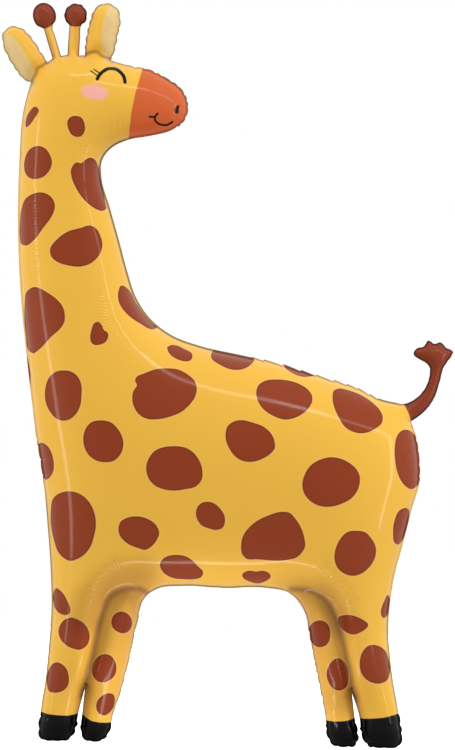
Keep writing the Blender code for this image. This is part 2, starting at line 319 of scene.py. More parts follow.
foil = {
    "weld": 0.003,  # width of the flat sealed band
    "rows": (0.0037, 0.005, 0.0072, 0.0102),  # closer together where the foil is steepest
    "grid": 0.0038,
    "beside": (0.0008, 0.002, 0.004, 0.007),  # rows beside a fold
    "bulgeReach": 0.085,
    "thickness": 0.0008,
    "soleSoftness": 0.002,
    "keptDepth": 0.97,  # a row's point stays if it reaches this share of the row's depth
    "offWeld": 0.001,  # how far folds and grid stay off the weld or the last row
    "besideOffWeld": 0.0005,
    "besideGap": (0.6, 0.0016),  # share of the row's distance to keep free, up to this distance
    "rowGap": 0.7,  # share of the distance between two rows to keep free
    "gridGap": (0.001, 0.0006),  # free round a point of the plain grid, and of the finest one
    "joinedGap": (1e-5, 0.0054),  # points of a row this far apart get an edge between them
    "samePoint": 1e-7,
    "leastArea": 1e-10,
    "mostRounds": 4000,  # for the blowing up
    "settled": 1e-12,
}
folds = {
    # line, the share of it that is sealed, how far the rest is drawn together, widths at its ends
    "frontLeg": ([(85, 688), (91, 665), (97, 640), (104, 610), (115, 591), (130, 585.5),
                  (146, 593)], 0.04, 0.42, 0.008, 0.026),
    "hindLeg": ([(352, 693), (347, 670), (342, 645), (336, 618), (327, 600), (309, 590),
                 (288, 591)], 0.04, 0.42, 0.008, 0.026),
    "leftEar": ([(47.5, 62), (38, 69), (31, 82)], 0.0, 0.45, 0.01, 0.01),
    "rightEar": ([(85, 55), (97, 52.5), (111, 60)], 0.0, 0.45, 0.01, 0.01),
    "tail": ([(404, 403.5), (409, 413), (411, 421)], 0.0, 0.3, 0.01, 0.01),
}
ripples = [
    # fine cross ripples: guide line, half width in squares, strength
    ([(86, 136), (84, 147), (80, 158)], 4, 0.8),
    ([(31, 182), (32, 210), (33, 240), (34, 265), (36, 290)], 4.5, 1.0),
    ([(93, 284), (101, 300), (104, 318), (112, 336), (124, 348)], 4.5, 1.0),
    ([(125, 557), (112, 565), (98, 578), (88, 593), (84, 602)], 5, 2.3),
    ([(316, 558), (330, 571), (345, 585), (352, 597), (355, 606)], 5, 2.5),
]
wrinkles = [
    # lone wrinkles: line, depth as a share
    ([(104, 116), (103, 134)], 0.8), ([(110, 112), (110, 138)], 1.0),
    ([(116, 112), (117, 139)], 1.0), ([(122, 114), (123, 137)], 0.8),
    ([(56, 217), (70, 215.5), (86, 215)], 1.0), ([(56, 220.5), (70, 219), (85, 218.5)], 0.7),
    ([(75, 246), (98, 246.5)], 0.9), ([(76, 250), (97, 250)], 0.7), ([(62, 167), (76, 168)], 0.6),
    ([(384, 413), (394, 416), (405, 416)], 1.0), ([(400, 427), (406, 424), (411, 420.5)], 0.9),
    ([(60, 617), (70, 614.5), (80, 614)], 0.7), ([(84, 612), (96, 610)], 0.7),
    ([(366, 612), (372, 618)], 0.8), ([(358, 588), (366, 600)], 0.6),
]
creases = {
    "rippleFade": 0.01,  # length over which a row of ripples sets in and ends
    "rippleReach": 3,  # how far it is followed to its sides, in half widths
    "wrinkleWidth": 0.0016,
}
closerGrid = {
    "headAbove": (60, 64),
    "tailFrom": (404, 421),
    "besideRipple": 1.3,  # in half widths
    "besideWrinkle": 0.0035,
    "besidePrint": 3.5,  # squares, beside the thin printed lines
}
lineSteps = {"guide": 0.0005, "outline": 0.0006, "thin": 0.0004}

# Thin printed lines, which need a close grid
eye = [(98, 80), (100, 76), (104, 72), (108, 69.5), (112, 69), (117, 70), (121, 73), (124, 77),
       (125.5, 83)]
lashes = [[(99.5, 73.5), (94.3, 70.2)], [(97.5, 76.3), (91.3, 71.8)]]
mouth = [[(150, 117.3), (155, 117.5)], [(155, 118), (156.5, 115.5), (158, 114)],
         [(155, 118), (155.5, 121), (158, 123.5), (162, 125), (167, 125), (170, 123.5),
          (172.5, 122)]]
nostril = [(178.8, 105), (176.5, 106.5), (174.8, 109.5), (174.6, 112), (176.5, 113.8), (178, 113.5),
           (178.8, 110), (179.2, 106)]


def guideOf(line, step=lineSteps["guide"]):
    return evenly(smoothLine(toMetres(line), lineSteps["guide"]), step)


def gridPoints():
    # a pattern of equal triangles, four times finer than the plain grid, with each point's level
    s = foil["grid"] / 4
    low, high = rim.min(axis=0), rim.max(axis=0)
    rowCount = math.ceil((high[1] - low[1]) / (s * math.sqrt(3) / 2))
    columnCount = math.ceil((high[0] - low[0]) / s)
    j = np.arange(rowCount)[:, None]
    i = np.arange(columnCount)[None, :] - j // 2
    x = low[0] + (i + j / 2) * s
    z = low[1] + (j + 0 * i) * s * math.sqrt(3) / 2
    i, j = np.broadcast_arrays(i, j)
    level = 2 - ((i % 2 == 0) & (j % 2 == 0)) - ((i % 4 == 0) & (j % 4 == 0))
    return np.stack([x.ravel(), z.ravel()], axis=1), level.ravel()


def wantedLevel(points):
    # 0 for the plain grid, 1 and 2 where it has to be closer
    wanted = np.zeros(len(points), int)
    for line, halfWidth, _ in ripples:
        reach = closerGrid["besideRipple"] * halfWidth * square
        wanted[distanceTo(points, [guideOf(line)]) < reach] = 2
    headHeight = toMetres(closerGrid["headAbove"])[0, 1]
    tailX, tailZ = toMetres(closerGrid["tailFrom"])[0]
    guides = [guideOf(line) for line, _ in wrinkles]
    closer = distanceTo(points, guides) < closerGrid["besideWrinkle"]
    closer |= points[:, 1] > headHeight
    closer |= (points[:, 0] > tailX) & (points[:, 1] > tailZ)
    wanted[closer] = np.maximum(wanted[closer], 1)
    thin = [guideOf(line) for line in (eye, nostril, *lashes, *mouth)]
    wanted[distanceTo(points, thin) < closerGrid["besidePrint"] * square] = 2
    return wanted


def flatFoil():
    # points, triangles, which points are welded, and which lie on the outline
    rimTree = treeOf(rim)

    def depthOf(points):
        return np.array([rimTree.find((x, z, 0))[2] for x, z in points])

    def deepIn(points, depth):
        return insideOf(points, rim) & (depthOf(points) > depth)

    placed = [rim]
    kinds = [np.ones(len(rim), int)]  # 1 where the foils are welded
    edges = [(i, (i + 1) % len(rim)) for i in range(len(rim))]
    count = len(rim)

    def spare(points, gap):
        # those that keep a gap from all that is placed
        tree = treeOf(np.concatenate(placed))
        return np.array([tree.find((x, z, 0))[2] for x, z in points]) > gap

    def place(points, kind):
        nonlocal count
        placed.append(points)
        kinds.append(np.full(len(points), kind))
        count += len(points)

    def placeJoined(points, kept, kind):
        # the kept points of a row, with edges between those that follow each other
        index = np.where(kept, np.cumsum(kept) - 1 + count, -1)
        gaps = np.linalg.norm(points - np.roll(points, -1, axis=0), axis=1)
        least, most = foil["joinedGap"]
        for here, onward, gap in zip(index, np.roll(index, -1), gaps):
            if min(here, onward) >= 0 and least < gap < most:
                edges.append((int(here), int(onward)))
        place(points[kept], kind)

    weld = movedIn(runs, outward, foil["weld"])
    placeJoined(weld, deepIn(weld, foil["keptDepth"] * foil["weld"]), 1)

    for line, sealed, *_ in folds.values():
        line = guideOf(line, edge["step"])
        share = lengthsAlong(line) / lengthsAlong(line)[-1]
        kept = deepIn(line, foil["weld"] + foil["offWeld"])
        placeJoined(line, kept, 0)
        kinds[-1][share[kept] <= sealed] = 1
        aside = sidewaysOf(line)
        for depth in foil["beside"]:
            beside = np.concatenate([line + depth * aside, line - depth * aside])
            beside = beside[deepIn(beside, foil["weld"] + foil["besideOffWeld"])]
            gapShare, most = foil["besideGap"]
            place(beside[spare(beside, gapShare * min(depth, most))], 0)

    last = foil["weld"]
    for depth in foil["rows"]:
        row = movedIn(runs, outward, depth)
        row = row[deepIn(row, foil["keptDepth"] * depth)]
        place(row[spare(row, foil["rowGap"] * (depth - last))], 0)
        last = depth

    grid, level = gridPoints()
    coarse = grid[level == 0]
    grid = np.concatenate([coarse, grid[level > 0]])
    level = np.concatenate([np.zeros(len(coarse), int), level[level > 0]])
    wanted = wantedLevel(grid)
    kept = level <= wanted
    grid, wanted = grid[kept], wanted[kept]
    inside = insideOf(grid, rim)
    grid, wanted = grid[inside], wanted[inside]
    deep = depthOf(grid) > np.where(wanted == 2, foil["weld"], last) + foil["offWeld"]
    grid, wanted = grid[deep], wanted[deep]
    plainGap, finestGap = foil["gridGap"]
    place(grid[spare(grid, np.where(wanted == 2, finestGap, plainGap))], 0)

    points = np.concatenate(placed)
    kinds = np.concatenate(kinds)
    flat = [Vector(point) for point in points]
    found = delaunay_2d_cdt(flat, edges, [], 0, foil["samePoint"], True)
    points, _, triangles, sources, _, _ = found
    points = np.array([tuple(point) for point in points])
    triangles = np.array(triangles)
    source = np.array([one[0] if one else -1 for one in sources])
    kinds = np.where(source >= 0, kinds[source], 0)
    onRim = (source >= 0) & (source < len(rim))
    doubtful = onRim[triangles].all(axis=1)
    keep = ~doubtful
    keep[doubtful] = insideOf(points[triangles[doubtful]].mean(axis=1), rim)
    triangles = triangles[keep]
    used = np.unique(triangles)
    renumbered = np.full(len(points), -1)
    renumbered[used] = np.arange(len(used))
    return points[used], renumbered[triangles], kinds[used] == 1, onRim[used]


# The gas pushes the foil out evenly, against its own pull and its welds

def blownUp(points, triangles, held):
    # the height of each point over the seam's plane, solved by conjugate gradients
    corners = points[triangles]
    opposite = np.roll(corners, -2, axis=1) - np.roll(corners, -1, axis=1)
    area = np.maximum(np.abs(signedArea(points, triangles)), foil["leastArea"])
    count = len(points)
    share = np.bincount(triangles.ravel(), np.repeat(area / 3, 3), count)
    rows, columns, pulls = [], [], []
    for i in range(3):
        for j in range(i):
            rows.append(triangles[:, i])
            columns.append(triangles[:, j])
            pulls.append((opposite[:, i] * opposite[:, j]).sum(axis=1) / (4 * area))
    rows, columns, pulls = np.concatenate(rows), np.concatenate(columns), np.concatenate(pulls)
    diagonal = -np.bincount(rows, pulls, count) - np.bincount(columns, pulls, count)
    diagonal += share / foil["bulgeReach"] ** 2
    free = ~held

    def pulled(x):
        return (
            diagonal * x
            + np.bincount(rows, pulls * x[columns], count)
            + np.bincount(columns, pulls * x[rows], count)
        ) * free

    push = np.zeros(count)
    rest = share * free
    scaled = rest / diagonal
    way = scaled.copy()
    size = rest @ scaled
    first = size
    for _ in range(foil["mostRounds"]):
        across = pulled(way)
        stride = size / (way @ across)
        push += stride * way
        rest -= stride * across
        scaled = rest / diagonal
        onward = rest @ scaled
        way = scaled + way * onward / size
        size = onward
        if size < foil["settled"] * first:
            break
    return np.sqrt(2 * np.maximum(push, 0))


flat, triangles, held, onRim = flatFoil()
print("flat foil:", len(flat), "points,", len(triangles), "triangles")
height = blownUp(flat, triangles, held)
for line, _, draw, startWidth, endWidth in folds.values():
    guide = guideOf(line)
    at, off = nearestOn(flat, guide)
    width = startWidth + (endWidth - startWidth) * at / len(guide)
    height = height * (1 - draw * np.exp(-((off / width) ** 2)))
height[held] = foil["thickness"] / 2
height = np.maximum(height, foil["thickness"] / 2)
height[onRim] = 0
print("blown up: half depth", round(height.max(), 4))

# Where each point lies by the sealed edge: how far in, and in which lobe of its puckers

puckers = {
    # stretches of the seam, clockwise: from, to, length and throw of a lobe in squares, and how
    # round it is
    "leftEar": ((30, 81), (46, 60), 11, 1.6, 0.8),
    "leftKnob": ((53, 26), (48, 27), 8, 1.2, 1.0),
    "rightKnob": ((70, 26), (80, 25), 8, 1.1, 1.0),
    "rightEar": ((86, 50), (112, 57), 11, 1.7, 0.8),
    "snout": ((126, 65), (176, 127), 9, 2.0, 0.45),
    "back": ((253, 357), (379, 398), 15, 1.7, 0.0),
    "tail": ((413, 400), (425, 410), 8, 0.35, 1.0),
    "rump": ((414, 432), (419, 484), 11, 1.5, 0.5),
    "hindNearHoof": ((398, 712), (366, 725), 11, 2.0, 1.0),
    "hindFarHoof": ((355, 722), (328, 722), 11, 2.0, 1.0),
    "hindFarLeg": ((324, 712), (306, 614), 10, 1.2, 0.3),
    "belly": ((262, 587), (160, 588), 26, 0.4, 0.6),
    "frontFarLeg": ((145, 594), (115, 706), 17, 0.9, 0.3),
    "frontFarHoof": ((111, 722), (82, 722), 11, 2.0, 1.0),
    "frontNearHoof": ((76, 720), (40, 715), 11, 2.0, 1.0),
    "chest": ((44, 484), (37, 438), 13, 1.4, 0.5),
}
lobes = {
    "seed": 11,
    "fade": 0.004,  # how far in from the seam the lobes still shift the foil
    "lengths": (0.7, 1.4),  # from and to, as shares of the stretch's own
    "sizes": (0.55, 1.0),
    "reaches": (0.5, 1.5),  # of the pleats
    "fewest": 3,  # points of the rim in a lobe
}


def puckerRows():
    # for each point of the rim: its place in its lobe, its throw, the pleat's strength and reach
    luck = np.random.default_rng(lobes["seed"])
    phase = np.full(len(rim), 0.5)
    throw = np.zeros(len(rim))
    strength = np.zeros(len(rim))
    reach = np.ones(len(rim))
    for start, end, lobe, most, roundness in puckers.values():
        first, last = nearestOn(toMetres([start, end]), rim)[0]
        span = (last - first) % len(rim)
        done = 0
        while done < span:
            count = round(luck.uniform(*lobes["lengths"]) * lobe * square / edge["step"])
            count = min(max(lobes["fewest"], count), span - done)
            size = luck.uniform(*lobes["sizes"])
            at = (first + done + np.arange(count)) % len(rim)
            share = (np.arange(count) + 0.5) / count
            # a round lobe stands out in its middle, a tiled one steps back from start to end
            rounded = 4 * share * (1 - share) - 0.55
            tiled = 0.5 - share - 0.3 * share**6
            phase[at] = share
            throw[at] = size * most * (roundness * rounded + (1 - roundness) * tiled)
            strength[at] = size * min(most, 1)
            reach[at] = luck.uniform(*lobes["reaches"])
            done += count
    return phase, throw * square, strength, reach


# How dark the sealed edge is, partly its own olive tint and partly painted shade along the edge,
# from 0 to 1, and how wide in squares, by stretches, clockwise
edgeTones = {
    "neckLeft": ((36, 425), (20, 160), 0.0, 1.0),
    "neckTop": ((20, 150), (27, 95), 0.45, 0.8),
    "ears": ((30, 81), (112, 57), 0.8, 1.0),
    "snoutTop": ((140, 67), (164, 74), 0.5, 1.0),
    "snoutTip": ((164, 74), (188, 108), 1.0, 1.7),
    "chin": ((188, 108), (176, 128), 0.9, 1.1),
    "throat": ((128, 138), (250, 356), 1.0, 1.8),
    "back": ((250, 357), (376, 397), 0.7, 1.3),
    "tailRoot": ((376, 397), (402, 403), 1.0, 1.7),
    "thigh": ((419, 487), (390, 605), 0.1, 1.0),
    "hindLeg": ((388, 612), (397, 706), 0.8, 1.2),
    "hindFar": ((326, 715), (291, 590), 0.7, 1.1),
    "belly": ((285, 588), (147, 591), 1.0, 1.5),
    "frontFar": ((144, 596), (112, 716), 0.7, 1.1),
    "frontLeg": ((40, 706), (46, 500), 0.8, 1.2),
}
plainTone = (0.5, 1.0)
toneBlend = 7  # points of the rim on each side over which two tones run together


def toneRows():
    tone = np.full(len(rim), plainTone[0])
    wide = np.full(len(rim), plainTone[1])
    for start, end, dark, width in edgeTones.values():
        first, last = nearestOn(toMetres([start, end]), rim)[0]
        at = (first + np.arange((last - first) % len(rim))) % len(rim)
        tone[at] = dark
        wide[at] = width
    blend = np.hanning(2 * toneBlend + 1)
    blend /= blend.sum()
    ringed = [np.concatenate([row[-toneBlend:], row, row[:toneBlend]]) for row in (tone, wide)]
    return [np.convolve(row, blend, "valid") for row in ringed]


seamPhase, seamThrow, seamStrength, seamReach = puckerRows()
seamTone, seamWide = toneRows()
nearest, _ = nearestOn(flat, rim)
rimIn = distanceTo(flat, [rim], closed=True)
rimOut = np.concatenate([one[:-1] for one in outward])[nearest]
phase, strength = seamPhase[nearest], seamStrength[nearest]
shift = seamThrow[nearest] * np.exp(-((rimIn / lobes["fade"]) ** 2))
drawn = flat  # the places on the drawing, which the print follows
flat = flat + rimOut * shift[:, None]

# The hooves are pressed flat on the floor
softness = foil["soleSoftness"]
flat[:, 1] = 0.5 * (flat[:, 1] + np.sqrt(flat[:, 1] ** 2 + softness**2))
flat[:, 1] -= flat[:, 1].min()

rippleAlong = np.zeros(len(flat))
rippleAside = np.zeros(len(flat))
rippleStrength = np.zeros(len(flat))
for line, halfWidth, size in ripples:
    guide = guideOf(line)
    at, _ = nearestOn(drawn, guide)
    along = lengthsAlong(guide)
    way = np.gradient(guide, axis=0)[at]
    offset = drawn - guide[at]
    aside = (way[:, 0] * offset[:, 1] - way[:, 1] * offset[:, 0]) / np.linalg.norm(way, axis=1)
    aside /= halfWidth * square
    end, ends = along[-1], creases["rippleFade"]
    fade = smooth01(along[at], 0, ends) * (1 - smooth01(along[at], end - ends, end))
    reach = creases["rippleReach"] * halfWidth * square
    here = size * fade * (np.linalg.norm(offset, axis=1) < reach)
    better = here > rippleStrength
    rippleStrength[better] = here[better]
    rippleAlong[better] = along[at][better]
    rippleAside[better] = aside[better]

wrinkle = np.zeros(len(flat))
for line, size in wrinkles:
    guide = guideOf(line)
    at, off = nearestOn(drawn, guide)
    share = at / (len(guide) - 1)
    across = np.exp(-((off / creases["wrinkleWidth"]) ** 2))
    wrinkle += size * np.sin(math.pi * share) ** 0.5 * across

# The print and the painted shade, drawn as closed outlines and lines. Each becomes a distance that
# the material reads.

spots = {
    # closed outlines, by the points that they pass
    "neck": [
        [(36, 107), (39.5, 110), (35, 119), (30, 125.5), (27, 127.5), (27, 117), (30, 112)],
        [(76, 117), (82, 118.5), (85.5, 125), (85.5, 132), (82, 137), (78, 138), (73, 136),
         (69, 129), (68.5, 122), (71, 118.5)],
        [(38, 146.5), (46, 149), (51, 156), (53, 163), (50.5, 171), (45, 177), (37, 179.5),
         (30, 178), (25.5, 172), (24.5, 165), (26, 157), (30, 150)],
        [(78, 163), (81.5, 164), (86, 160.5), (91, 158), (95.5, 160), (98, 165), (100, 176),
         (105, 201), (106, 209), (103, 211), (97, 209.5), (90, 205), (83, 198), (76, 187),
         (72.5, 178), (72, 170)],
        [(41, 192.8), (48, 194.5), (54, 200), (56, 207), (54.5, 213), (43, 230), (37, 238),
         (25.5, 245.5), (21.5, 243.5), (20, 236), (20, 222), (22, 208), (26, 199), (33, 194.5)],
        [(92, 226), (97, 229), (101, 236), (103, 244), (98, 258), (91, 264), (80, 267),
         (68, 265.5), (58, 262), (52.5, 257), (51, 251), (60, 238), (69, 232), (81, 228.5)],
        [(33, 287.5), (50, 293.5), (58, 299.5), (64, 307), (66, 315), (65.5, 322), (61, 329),
         (53, 336), (39, 350), (34, 353), (30.5, 351.5), (26, 333), (24.5, 318), (25, 303),
         (27, 292)],
        [(122, 285), (126, 287), (137, 304), (144, 314), (152, 323), (157, 327.5), (154, 328.8),
         (140, 323), (131, 317), (124, 310), (119.5, 302), (118.8, 292)],
        [(98, 321.5), (102, 324), (105, 330), (108.5, 332.5), (109, 337), (106.5, 342),
         (101, 344.5), (96.5, 345), (92.5, 342.5), (91.3, 338), (92.5, 330), (95, 323.5)],
        [(26, 355), (30, 370), (30.5, 378), (27, 392), (22, 392), (21, 372)],
    ],
    "chest": [
        [(65, 370), (72, 371), (79, 376), (82.5, 384), (82.8, 395), (81.5, 405), (77.5, 413),
         (71, 418.5), (64, 420), (57, 417.5), (51, 411), (47, 403), (45.8, 394), (52, 375),
         (58, 371)],
        [(104, 419.5), (112, 421.5), (119, 428), (124.5, 442), (121, 454), (115, 459.5),
         (107, 461), (98, 459.5), (91, 455), (84.5, 440), (86, 430), (91, 422.5)],
        [(42, 442), (46, 443.5), (54, 457), (54.8, 464), (53.5, 472), (46, 479), (42, 476),
         (36, 470), (34, 456), (37, 445)],
        [(69, 490), (77, 491), (85, 495), (92, 503), (96, 513), (97, 524), (95, 535), (91, 546),
         (84, 554), (77, 558), (71, 559.5), (65, 557), (59, 551), (55, 541), (51, 513), (55, 496)],
        [(137, 514.5), (146, 516), (158, 525), (160, 531), (158, 537), (151, 545.5), (146, 548),
         (140, 546.5), (125, 539), (120.5, 533), (119.5, 526), (122, 519.5), (128, 516)],
    ],
    "flank": [
        [(172, 344.7), (178, 345.5), (184, 348.5), (192.5, 354), (192.3, 358), (190, 360.5),
         (185, 361), (179, 359.5), (168, 350), (167.5, 347)],
        [(168, 368), (178, 369), (188, 374), (194.5, 380), (197, 388), (195.5, 396), (190, 404),
         (182, 411), (170, 416), (157, 418.5), (148, 418), (141, 414.5), (133.2, 399),
         (134.5, 390), (138, 384.5), (135.8, 380), (137, 377), (145, 373), (156, 369)],
        [(177, 445), (186, 446.5), (194, 451.5), (199.5, 459), (202.8, 470), (202, 478),
         (196, 485), (186, 487.5), (174, 489), (164, 487.5), (155, 483.5), (149, 476), (147, 466),
         (154, 451)],
        [(178, 553), (186, 554.5), (193, 559), (197.5, 564), (203.5, 571), (201, 576), (194, 578),
         (184, 578), (174, 577), (162, 568.5), (160.3, 563), (163, 557.5), (169, 554)],
        [(212, 352), (218, 348), (243, 351), (251, 355), (254, 360), (251, 364), (246, 367.5),
         (239, 369.5), (231, 369), (222, 365.5), (211, 355.5)],
        [(284, 365), (288, 361), (304, 365), (315, 374), (306, 376.5), (299, 375.5), (292, 372.5)],
        [(275, 379), (284, 379.5), (301, 384.5), (307.5, 389), (311.5, 395), (311.5, 401),
         (308, 407.5), (302, 413), (293, 417.5), (284, 418.8), (276, 416.5), (261, 406),
         (257, 398.5), (256, 391), (258.5, 384.5), (264.5, 380.5)],
        [(243, 419.3), (250, 421), (265, 427), (271, 433), (274, 440), (274.3, 447), (270, 452.5),
         (262, 457.5), (252, 460.5), (244, 460), (236, 456), (230.5, 449.5), (225.5, 433),
         (227.5, 425.5), (234, 420.5)],
        [(208, 500), (214, 501.5), (220, 506.5), (224.5, 514), (225, 520.5), (222.5, 526),
         (217, 528), (209, 526.5), (202, 523.5), (196.2, 511), (198.5, 504), (203, 500.7)],
        [(281, 510), (289, 511), (294.5, 516.5), (304, 538), (304.5, 544), (302, 549.5),
         (296, 555.5), (287, 558), (256, 557.5), (246.5, 557), (242, 552), (241, 543),
         (242.5, 535), (248, 526.5), (256, 519.5), (267, 514)],
        [(250, 569), (256, 570), (262, 569), (268, 571), (270.7, 574), (262.5, 581.5),
         (257, 582.5), (251, 581), (242.5, 575.5), (242, 573), (245.5, 570)],
    ],
    "rump": [
        [(339, 388), (347, 389.5), (365, 397), (373, 403), (379.5, 410), (382, 416.5),
         (380.5, 423), (375, 427.5), (367, 431.5), (360, 432.5), (351, 430.5), (344, 426),
         (339, 418.5), (332, 397), (333, 390.5)],
        [(330, 456), (348, 461.5), (354.5, 467), (358.5, 474.5), (358.5, 482), (355.5, 490.5),
         (350, 497), (342, 501.5), (330, 505), (318, 504), (309, 499), (303, 491), (301.5, 483),
         (304, 473), (310, 464), (319, 458.5)],
        [(405, 429), (411, 431), (415, 436), (424, 455), (425, 470), (416, 486), (411, 488.5),
         (405.5, 486), (400, 479.5), (396, 470), (394, 458), (393.8, 446), (395.5, 437),
         (399.5, 431)],
        [(405, 507), (408.5, 509), (409, 515), (404.5, 535), (401, 541.5), (397, 543.8),
         (393.5, 541), (392.3, 533), (393, 522), (400, 508.5)],
        [(356, 529), (364, 530.5), (370, 536.5), (374.3, 544), (375, 552), (372, 560.5),
         (366.5, 567.5), (359, 572.5), (352, 574), (344, 572), (337.5, 567), (334, 559.5),
         (336.5, 542), (347, 530)],
    ],
    "hindLegs": [
        [(387, 594), (389, 596), (389.5, 604), (385, 616.5), (382.5, 617), (381, 614.5),
         (384.8, 598)],
        [(349, 613.3), (356, 615), (363, 618.5), (367.7, 622.5), (358, 631.5), (352, 633),
         (346, 631), (337.5, 620), (338, 616), (343, 613.8)],
        [(320, 619), (325.5, 621), (329, 626), (329.8, 632), (329, 639), (325.5, 644), (320, 646),
         (314, 644.5), (310, 639), (308.5, 631), (310.5, 624.5), (315, 620.3)],
        [(372, 643.3), (379, 645), (385, 650), (388, 657), (389.3, 674), (386.5, 679.5),
         (381, 682), (366.5, 678.5), (361.5, 673), (359.2, 665), (363, 648.5), (367, 644.5)],
        [(338, 656.5), (342, 659), (348.2, 671), (348, 680), (345.5, 686.5), (341, 689),
         (336, 689), (327.5, 679), (326.5, 671.5), (328.5, 664.5), (332.5, 659)],
    ],
    "frontLegs": [
        [(57, 587), (60.5, 589), (69, 601.5), (71.3, 608), (70, 612), (66, 613.5), (60, 612),
         (55.5, 607.5), (53.3, 601), (53.5, 592.5)],
        [(73, 616), (79, 618), (85.5, 622.5), (89.5, 630), (90, 637.5), (87, 644.5), (81, 648),
         (74, 647), (61, 637.5), (59, 630), (61.5, 622.5), (66.5, 617.5)],
        [(58, 661), (63, 663), (67.5, 668), (69.3, 675), (69, 682.5), (66.5, 687), (54, 691.5),
         (49, 690), (47.3, 685), (50, 667), (53.5, 662.5)],
        [(122.5, 610), (128, 612.5), (131.7, 618), (132, 624.5), (129, 630), (124, 632),
         (118.5, 630.5), (113.5, 626.5), (111.8, 620.5), (114, 614)],
        [(106, 652.5), (111, 654), (115.5, 660), (116.7, 667), (115, 674), (103, 681),
         (97.5, 679.5), (93.5, 675), (92.5, 667.5), (94.5, 660.5), (99, 655)],
        [(109, 692), (113.5, 693.5), (115, 699), (113.5, 706.5), (110, 711.5), (104.5, 714.5),
         (99, 712), (96.5, 706.5), (97, 701.5), (105, 693)],
    ],
}
areas = {
    # stretches that reach past the outline, with straight sides
    "snout": [(144, 62), (142.5, 68.5), (140.5, 77), (138, 86), (135.5, 95), (133.5, 105),
              (131.5, 115), (130.5, 124), (128.5, 139), (127, 150), (205, 150), (205, 60)],
    "frontNearHoof": [(30, 711), (40.5, 711), (48, 713), (58, 714), (68, 714.5), (78, 713),
                      (80, 713), (80, 800), (30, 800)],
    "frontFarHoof": [(80.2, 712), (81.5, 713), (86, 716.5), (92, 720), (100, 721.5), (111, 722),
                     (120, 722), (120, 800), (80.2, 800)],
    "hindFarHoof": [(315, 720), (326.5, 720), (335, 720.5), (345, 720), (354, 718), (357.5, 717),
                    (360, 800), (315, 800)],
    "hindNearHoof": [(360, 718), (370, 717.5), (383, 716.5), (397, 713.5), (410, 711), (410, 800),
                     (358, 800), (358, 718)],
    "tail": [(400, 402), (404.5, 404.5), (407, 410), (409.5, 416), (411, 420.5), (415, 430),
             (480, 430), (480, 330), (400, 330)],
}
# ovals: the middle, width, height and tilt in degrees
knobs = [(44, 13, 25, 30), (75.5, 12.5, 25, 28)]
cheek = (95.5, 93.5, 28, 16, 8)
ovalPoints = 120
earInner = {
    "left": [(-5, 27), (5, 33), (12, 36), (18, 42), (23, 50), (28, 58), (33, 66), (34, 72),
             (34, 90), (-5, 90)],
    "right": [(112, -5), (109, 6), (106, 12), (104, 20), (102.5, 30), (102, 40), (103, 50),
              (104, 62), (130, 62), (130, -5)],
}
airbrushAndShadeLines = {
    # the middle lines of painted shade, partly printed airbrush at the leg folds: at the folds, at
    # the ear roots, on the thighs and on the far legs
    "frontLeg": [(82, 696), (85.4, 685), (88.4, 674), (92, 662), (95, 649), (97.4, 637), (100, 624),
                 (103, 614), (106, 605), (109, 597.6), (113.5, 593), (122, 589), (131.5, 587.4),
                 (140, 588), (147, 592)],
    "hindLeg": [(355.5, 700), (352.6, 691), (351, 681.6), (349, 669.6), (346, 656.5),
                (343.6, 644.5), (341, 635), (337.6, 624), (334, 614.5), (330, 606), (324.5, 599),
                (317, 593.5), (309, 590), (300, 588.6), (291, 588.6)],
    "leftEar": [(46.5, 62), (42, 66), (38, 68.5), (36, 74), (34, 77), (32, 82)],
    "rightEar": [(85, 54), (92, 52), (97, 52), (101, 55), (105, 57), (110, 58)],
    "frontThigh": [(86, 616), (88, 604), (101, 590), (120, 574), (144, 570)],
    "hindThigh": [(338, 622), (331, 606), (323, 594)],
    "frontFarLeg": [(134, 598), (129, 622), (123, 648), (117, 676), (112, 700)],
    "hindFarLeg": [(306, 598), (311, 622), (318, 650), (327, 680), (334, 700)],
}


def oval(x, y, width, height, tilt=0):
    turns = np.linspace(0, 2 * math.pi, ovalPoints, endpoint=False)
    across, down = width / 2 * np.cos(turns), height / 2 * np.sin(turns)
    c, s = math.cos(math.radians(tilt)), math.sin(math.radians(tilt))
    return toMetres(np.stack([x + across * c - down * s, y + across * s + down * c], axis=1))


def closedLine(knots):
    return smoothLine(toMetres(knots), lineSteps["outline"], closed=True)


def corneredLine(knots):
    line = toMetres(list(knots) + [knots[0]])
    sides = [evenly(line[i:i + 2], lineSteps["outline"])[:-1] for i in range(len(knots))]
    return np.concatenate(sides)


def areaField(loops):
    # the distance to the nearest outline, below zero inside it
    off = distanceTo(drawn, loops, closed=True)
    inside = np.zeros(len(drawn), bool)
    for loop in loops:
        inside |= insideOf(drawn, loop)
    return np.where(inside, -off, off)


def lineField(lines):
    return distanceTo(drawn, [smoothLine(toMetres(line), lineSteps["thin"]) for line in lines])


